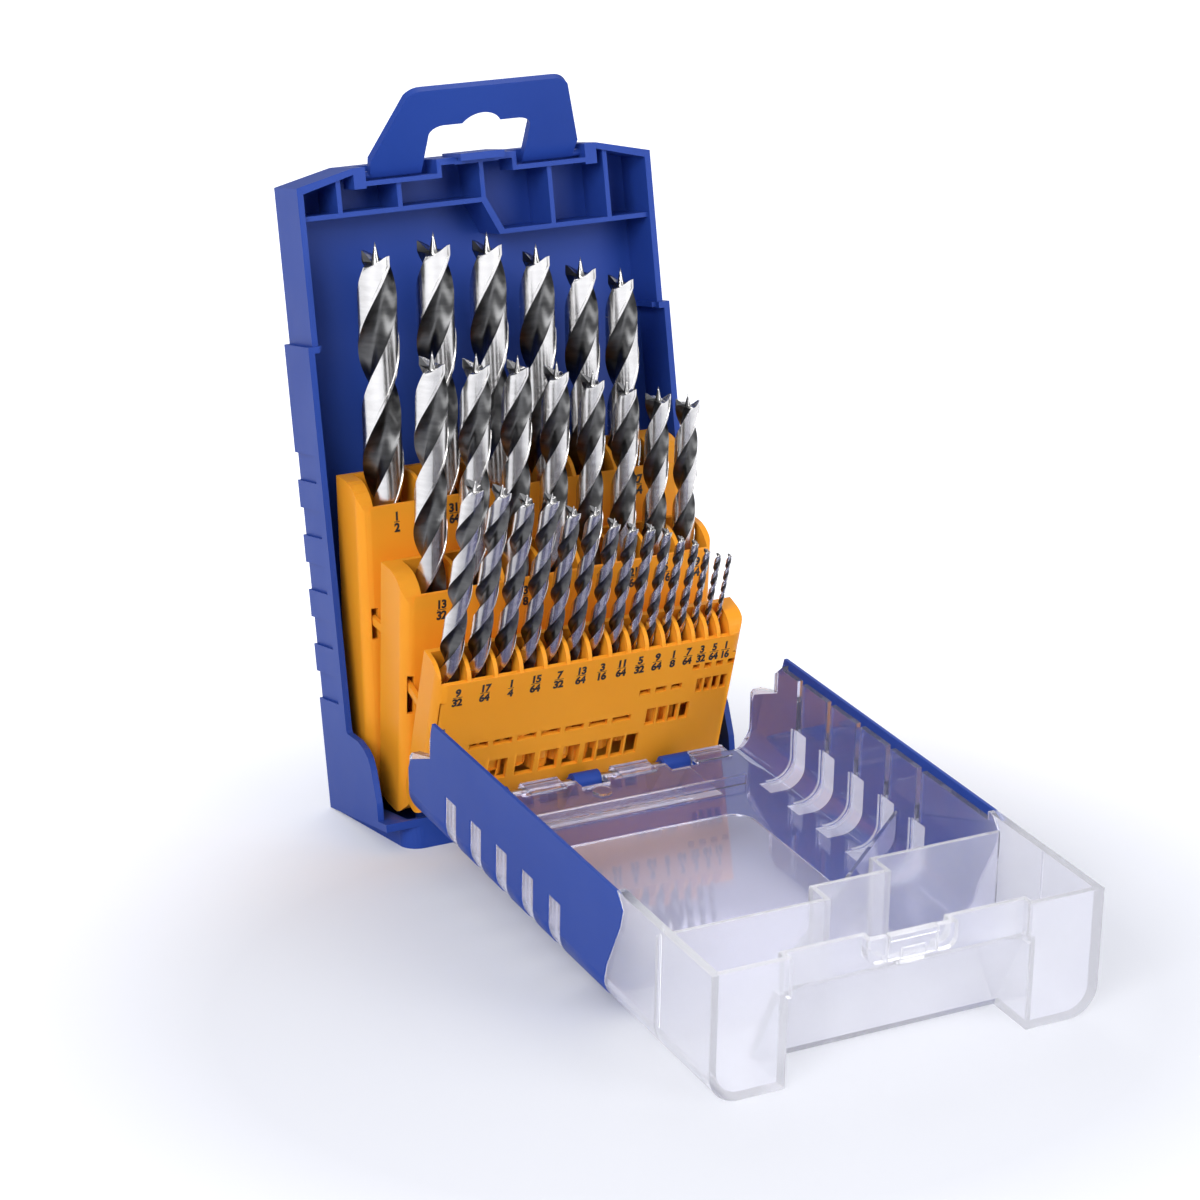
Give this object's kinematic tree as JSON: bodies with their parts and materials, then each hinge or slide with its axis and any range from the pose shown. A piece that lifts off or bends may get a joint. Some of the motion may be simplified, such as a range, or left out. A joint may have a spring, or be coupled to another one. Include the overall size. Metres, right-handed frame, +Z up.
{
  "type": "drill bit case",
  "caption": "Standing drill bit case with a blue back shell and folding handle, three orange trays that fan out in front of it, and a clear lid that drops to the front.",
  "frame": {"origin": "on the table under the middle of the open case's bounding box", "axes": "+X to the right as seen from the front, +Y to the back, +Z up; the case is stored open, as it stands in use"},
  "size_m": [0.1244, 0.2814, 0.2255],
  "materials": {
    "blue_plastic": "satin moulded plastic",
    "orange_plastic": "satin moulded plastic",
    "clear_plastic": "milky clear moulded plastic",
    "steel": "plain drawn steel",
    "bit_steel": "ground lands with dark flutes"
  },
  "bodies": {
    "case": {"back_shell": "blue_plastic", "rear_rod": "steel", "mid_rod": "steel", "front_rod": "steel"},
    "handle": {"handle": "blue_plastic"},
    "rear_tray": {"rear_tray": "orange_plastic", "bit_1_2": "bit_steel", "bit_31_64": "bit_steel", "bit_15_32": "bit_steel", "bit_29_64": "bit_steel", "bit_7_16": "bit_steel", "bit_27_64": "bit_steel"},
    "mid_tray": {"mid_tray": "orange_plastic", "bit_13_32": "bit_steel", "bit_25_64": "bit_steel", "bit_3_8": "bit_steel", "bit_23_64": "bit_steel", "bit_11_32": "bit_steel", "bit_21_64": "bit_steel", "bit_5_16": "bit_steel", "bit_19_64": "bit_steel"},
    "front_tray": {"front_tray": "orange_plastic", "bit_9_32": "bit_steel", "bit_17_64": "bit_steel", "bit_1_4": "bit_steel", "bit_15_64": "bit_steel", "bit_7_32": "bit_steel", "bit_13_64": "bit_steel", "bit_3_16": "bit_steel", "bit_11_64": "bit_steel", "bit_5_32": "bit_steel", "bit_9_64": "bit_steel", "bit_1_8": "bit_steel", "bit_7_64": "bit_steel", "bit_3_32": "bit_steel", "bit_5_64": "bit_steel", "bit_1_16": "bit_steel"},
    "lid": {"lid_shell": "clear_plastic", "lid_overlay": "blue_plastic", "lid_hinge_pin": "steel"},
    "latch": {"latch_tab": "clear_plastic"}
  },
  "joints": [
    {"name": "lid_hinge", "type": "hinge", "parent": "case", "child": "lid", "pos_m": [0, 0.05434, 0.0159], "axis": [-1, 0, 0], "range_deg": [0, 103.33]},
    {"name": "rear_tray_hinge", "type": "hinge", "parent": "case", "child": "rear_tray", "pos_m": [0, 0.10062, 0.00963], "axis": [-1, 0, 0], "range_deg": [0, 8.5]},
    {"name": "mid_tray_hinge", "type": "hinge", "parent": "case", "child": "mid_tray", "pos_m": [0, 0.08258, 0.01235], "axis": [-1, 0, 0], "range_deg": [0, 14.5]},
    {"name": "front_tray_hinge", "type": "hinge", "parent": "case", "child": "front_tray", "pos_m": [0, 0.06765, 0.01561], "axis": [-1, 0, 0], "range_deg": [0, 29]},
    {"name": "handle_hinge", "type": "hinge", "parent": "case", "child": "handle", "pos_m": [0, 0.12593, 0.19745], "axis": [1, 0, 0], "range_deg": [-36, 54]},
    {"name": "latch_flex", "type": "hinge", "parent": "lid", "child": "latch", "pos_m": [0, -0.13816, 0.02897], "axis": [-1, 0, 0], "range_deg": [0, 8], "stiffness_Nm_per_rad": 0.05}
  ],
  "couplings": [
    {"joint": "rear_tray_hinge", "follows": "lid_hinge", "ratio": 0.08226},
    {"joint": "mid_tray_hinge", "follows": "lid_hinge", "ratio": 0.14032},
    {"joint": "front_tray_hinge", "follows": "lid_hinge", "ratio": 0.28065}
  ]
}
